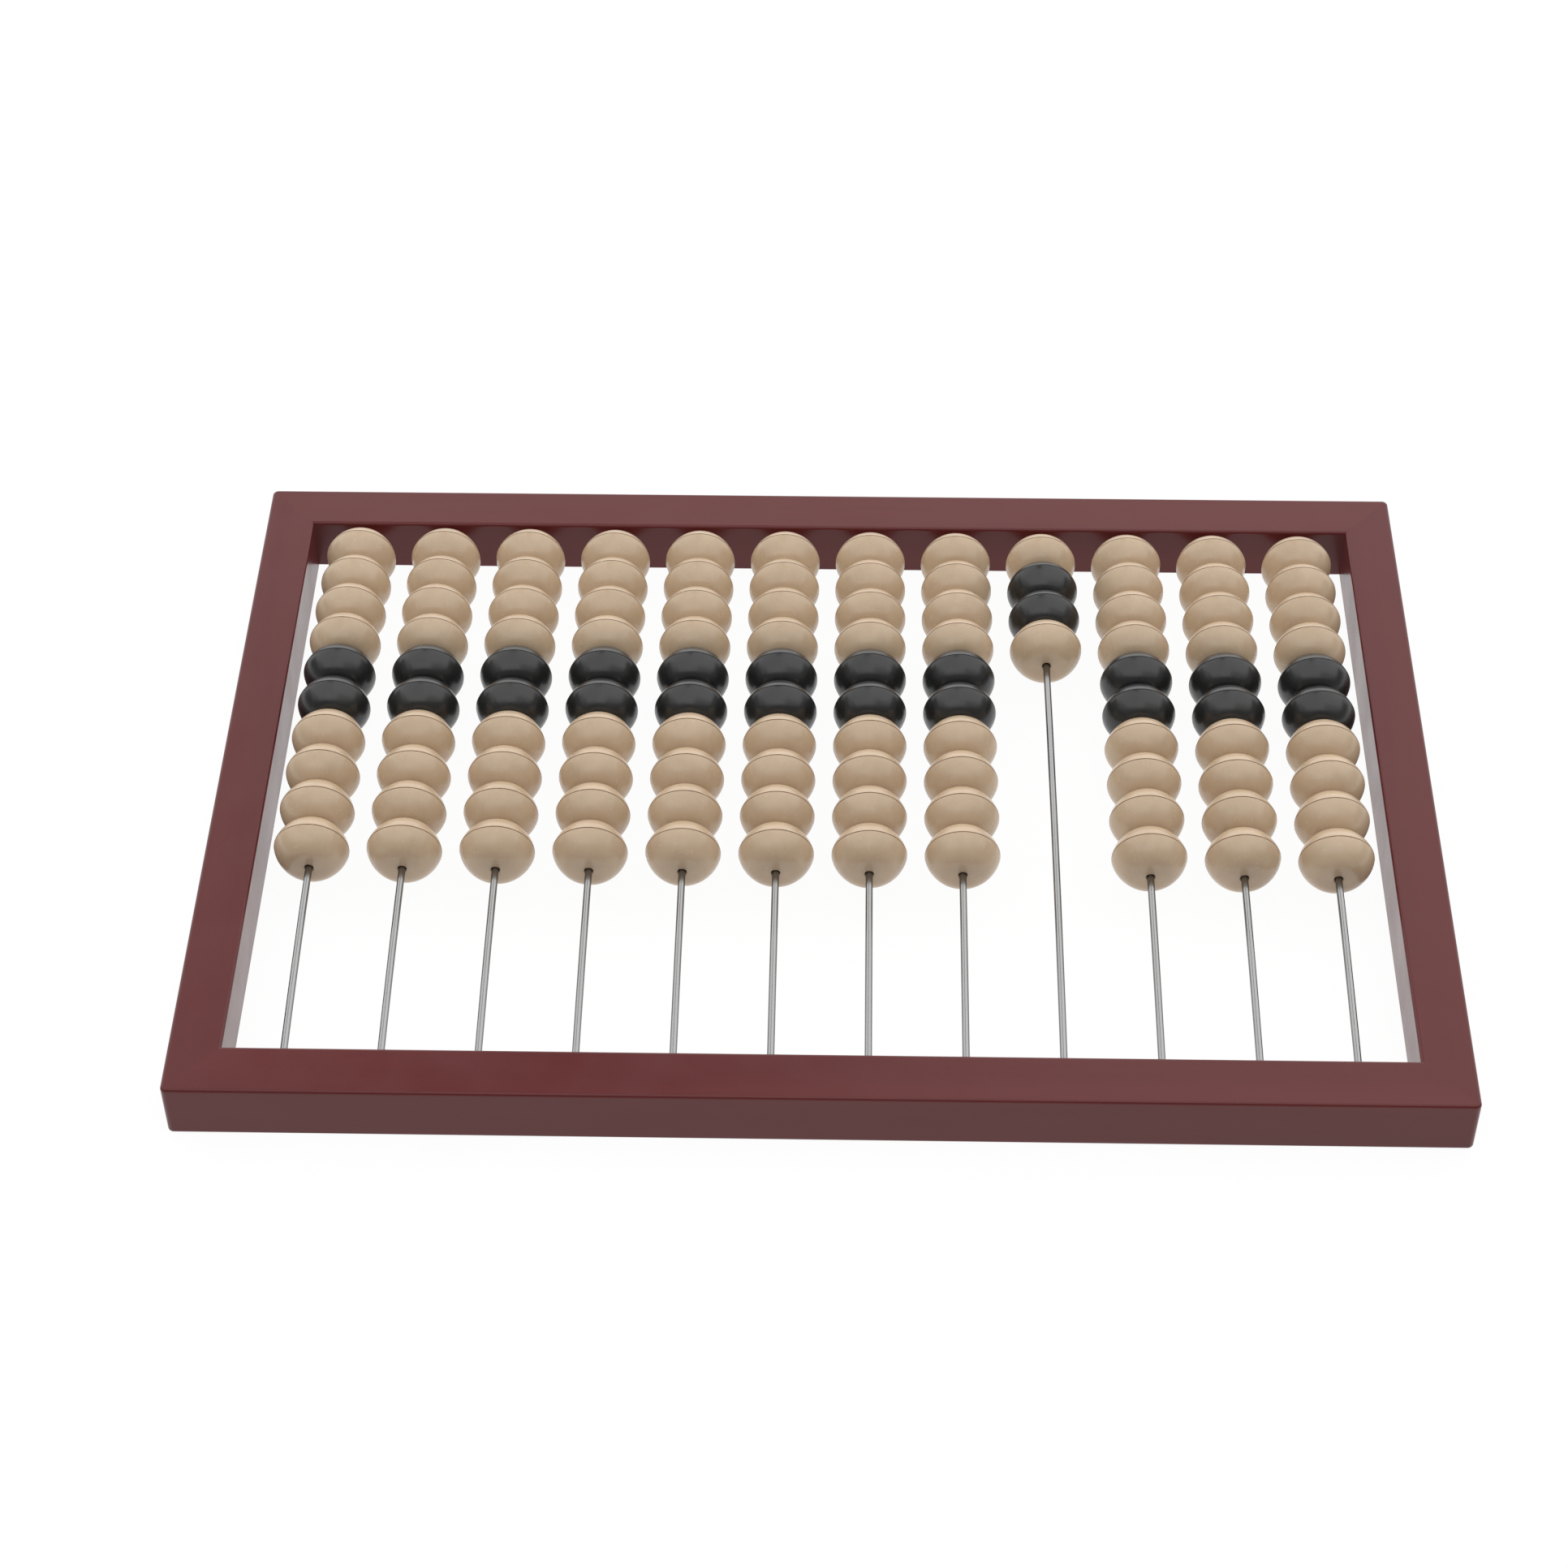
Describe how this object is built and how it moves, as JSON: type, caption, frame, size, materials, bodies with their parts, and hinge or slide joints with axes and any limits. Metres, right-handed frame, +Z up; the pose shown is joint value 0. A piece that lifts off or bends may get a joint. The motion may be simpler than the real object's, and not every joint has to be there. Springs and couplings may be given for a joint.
{
  "type": "abacus",
  "caption": "Low rectangular wooden frame with arched steel wires across its depth and lens-shaped wooden beads that slide along them, for counting.",
  "frame": {"origin": "middle of the footprint, on the surface the frame lies on", "axes": "+X along the long side, +Y from the person counting towards the back rail, +Z up"},
  "size_m": [0.3004, 0.2094, 0.0255],
  "materials": {
    "lacquered_frame": "glossy maroon lacquer",
    "beige_bead": "satin beige lacquer",
    "black_bead": "satin black lacquer",
    "steel_wire": "bright drawn wire"
  },
  "bodies": {
    "frame": {"front_rail": "lacquered_frame", "back_rail": "lacquered_frame", "left_rail": "lacquered_frame", "right_rail": "lacquered_frame", "wire_01": "steel_wire", "wire_02": "steel_wire", "wire_03": "steel_wire", "wire_04": "steel_wire", "wire_05": "steel_wire", "wire_06": "steel_wire", "wire_07": "steel_wire", "wire_08": "steel_wire", "wire_09": "steel_wire", "wire_10": "steel_wire", "wire_11": "steel_wire", "wire_12": "steel_wire"},
    "far_stack_01": {"far_beads_01": "beige_bead", "dark_beads_01": "black_bead"},
    "near_stack_01": {"near_beads_01": "beige_bead"},
    "far_stack_02": {"far_beads_02": "beige_bead", "dark_beads_02": "black_bead"},
    "near_stack_02": {"near_beads_02": "beige_bead"},
    "far_stack_03": {"far_beads_03": "beige_bead", "dark_beads_03": "black_bead"},
    "near_stack_03": {"near_beads_03": "beige_bead"},
    "far_stack_04": {"far_beads_04": "beige_bead", "dark_beads_04": "black_bead"},
    "near_stack_04": {"near_beads_04": "beige_bead"},
    "far_stack_05": {"far_beads_05": "beige_bead", "dark_beads_05": "black_bead"},
    "near_stack_05": {"near_beads_05": "beige_bead"},
    "far_stack_06": {"far_beads_06": "beige_bead", "dark_beads_06": "black_bead"},
    "near_stack_06": {"near_beads_06": "beige_bead"},
    "far_stack_07": {"far_beads_07": "beige_bead", "dark_beads_07": "black_bead"},
    "near_stack_07": {"near_beads_07": "beige_bead"},
    "far_stack_08": {"far_beads_08": "beige_bead", "dark_beads_08": "black_bead"},
    "near_stack_08": {"near_beads_08": "beige_bead"},
    "far_stack_09": {"far_beads_09": "beige_bead", "dark_beads_09": "black_bead"},
    "near_stack_09": {"near_beads_09": "beige_bead"},
    "far_stack_10": {"far_beads_10": "beige_bead", "dark_beads_10": "black_bead"},
    "near_stack_10": {"near_beads_10": "beige_bead"},
    "far_stack_11": {"far_beads_11": "beige_bead", "dark_beads_11": "black_bead"},
    "near_stack_11": {"near_beads_11": "beige_bead"},
    "far_stack_12": {"far_beads_12": "beige_bead", "dark_beads_12": "black_bead"},
    "near_stack_12": {"near_beads_12": "beige_bead"}
  },
  "joints": [
    {"name": "far_stack_slide_01", "type": "hinge", "parent": "frame", "child": "far_stack_01", "pos_m": [-0.12408, 0, -0.7087], "axis": [1, 0, 0], "range_deg": [-0.28, 4.41]},
    {"name": "near_stack_slide_01", "type": "hinge", "parent": "far_stack_01", "child": "near_stack_01", "pos_m": [-0.12408, 0, -0.7087], "axis": [-1, 0, 0], "range_deg": [-4.41, 0]},
    {"name": "far_stack_slide_02", "type": "hinge", "parent": "frame", "child": "far_stack_02", "pos_m": [-0.10152, 0, -0.7087], "axis": [1, 0, 0], "range_deg": [-0.28, 4.41]},
    {"name": "near_stack_slide_02", "type": "hinge", "parent": "far_stack_02", "child": "near_stack_02", "pos_m": [-0.10152, 0, -0.7087], "axis": [-1, 0, 0], "range_deg": [-4.41, 0]},
    {"name": "far_stack_slide_03", "type": "hinge", "parent": "frame", "child": "far_stack_03", "pos_m": [-0.07896, 0, -0.7087], "axis": [1, 0, 0], "range_deg": [-0.28, 4.41]},
    {"name": "near_stack_slide_03", "type": "hinge", "parent": "far_stack_03", "child": "near_stack_03", "pos_m": [-0.07896, 0, -0.7087], "axis": [-1, 0, 0], "range_deg": [-4.41, 0]},
    {"name": "far_stack_slide_04", "type": "hinge", "parent": "frame", "child": "far_stack_04", "pos_m": [-0.0564, 0, -0.7087], "axis": [1, 0, 0], "range_deg": [-0.28, 4.41]},
    {"name": "near_stack_slide_04", "type": "hinge", "parent": "far_stack_04", "child": "near_stack_04", "pos_m": [-0.0564, 0, -0.7087], "axis": [-1, 0, 0], "range_deg": [-4.41, 0]},
    {"name": "far_stack_slide_05", "type": "hinge", "parent": "frame", "child": "far_stack_05", "pos_m": [-0.03384, 0, -0.7087], "axis": [1, 0, 0], "range_deg": [-0.28, 4.41]},
    {"name": "near_stack_slide_05", "type": "hinge", "parent": "far_stack_05", "child": "near_stack_05", "pos_m": [-0.03384, 0, -0.7087], "axis": [-1, 0, 0], "range_deg": [-4.41, 0]},
    {"name": "far_stack_slide_06", "type": "hinge", "parent": "frame", "child": "far_stack_06", "pos_m": [-0.01128, 0, -0.7087], "axis": [1, 0, 0], "range_deg": [-0.28, 4.41]},
    {"name": "near_stack_slide_06", "type": "hinge", "parent": "far_stack_06", "child": "near_stack_06", "pos_m": [-0.01128, 0, -0.7087], "axis": [-1, 0, 0], "range_deg": [-4.41, 0]},
    {"name": "far_stack_slide_07", "type": "hinge", "parent": "frame", "child": "far_stack_07", "pos_m": [0.01128, 0, -0.7087], "axis": [1, 0, 0], "range_deg": [-0.28, 4.41]},
    {"name": "near_stack_slide_07", "type": "hinge", "parent": "far_stack_07", "child": "near_stack_07", "pos_m": [0.01128, 0, -0.7087], "axis": [-1, 0, 0], "range_deg": [-4.41, 0]},
    {"name": "far_stack_slide_08", "type": "hinge", "parent": "frame", "child": "far_stack_08", "pos_m": [0.03384, 0, -0.7087], "axis": [1, 0, 0], "range_deg": [-0.28, 4.41]},
    {"name": "near_stack_slide_08", "type": "hinge", "parent": "far_stack_08", "child": "near_stack_08", "pos_m": [0.03384, 0, -0.7087], "axis": [-1, 0, 0], "range_deg": [-4.41, 0]},
    {"name": "far_stack_slide_09", "type": "hinge", "parent": "frame", "child": "far_stack_09", "pos_m": [0.0564, 0, -0.7087], "axis": [1, 0, 0], "range_deg": [-0.28, 10.22]},
    {"name": "near_stack_slide_09", "type": "hinge", "parent": "far_stack_09", "child": "near_stack_09", "pos_m": [0.0564, 0, -0.7087], "axis": [-1, 0, 0], "range_deg": [-10.22, 0]},
    {"name": "far_stack_slide_10", "type": "hinge", "parent": "frame", "child": "far_stack_10", "pos_m": [0.07896, 0, -0.7087], "axis": [1, 0, 0], "range_deg": [-0.28, 4.41]},
    {"name": "near_stack_slide_10", "type": "hinge", "parent": "far_stack_10", "child": "near_stack_10", "pos_m": [0.07896, 0, -0.7087], "axis": [-1, 0, 0], "range_deg": [-4.41, 0]},
    {"name": "far_stack_slide_11", "type": "hinge", "parent": "frame", "child": "far_stack_11", "pos_m": [0.10152, 0, -0.7087], "axis": [1, 0, 0], "range_deg": [-0.28, 4.41]},
    {"name": "near_stack_slide_11", "type": "hinge", "parent": "far_stack_11", "child": "near_stack_11", "pos_m": [0.10152, 0, -0.7087], "axis": [-1, 0, 0], "range_deg": [-4.41, 0]},
    {"name": "far_stack_slide_12", "type": "hinge", "parent": "frame", "child": "far_stack_12", "pos_m": [0.12408, 0, -0.7087], "axis": [1, 0, 0], "range_deg": [-0.28, 4.41]},
    {"name": "near_stack_slide_12", "type": "hinge", "parent": "far_stack_12", "child": "near_stack_12", "pos_m": [0.12408, 0, -0.7087], "axis": [-1, 0, 0], "range_deg": [-4.41, 0]}
  ]
}
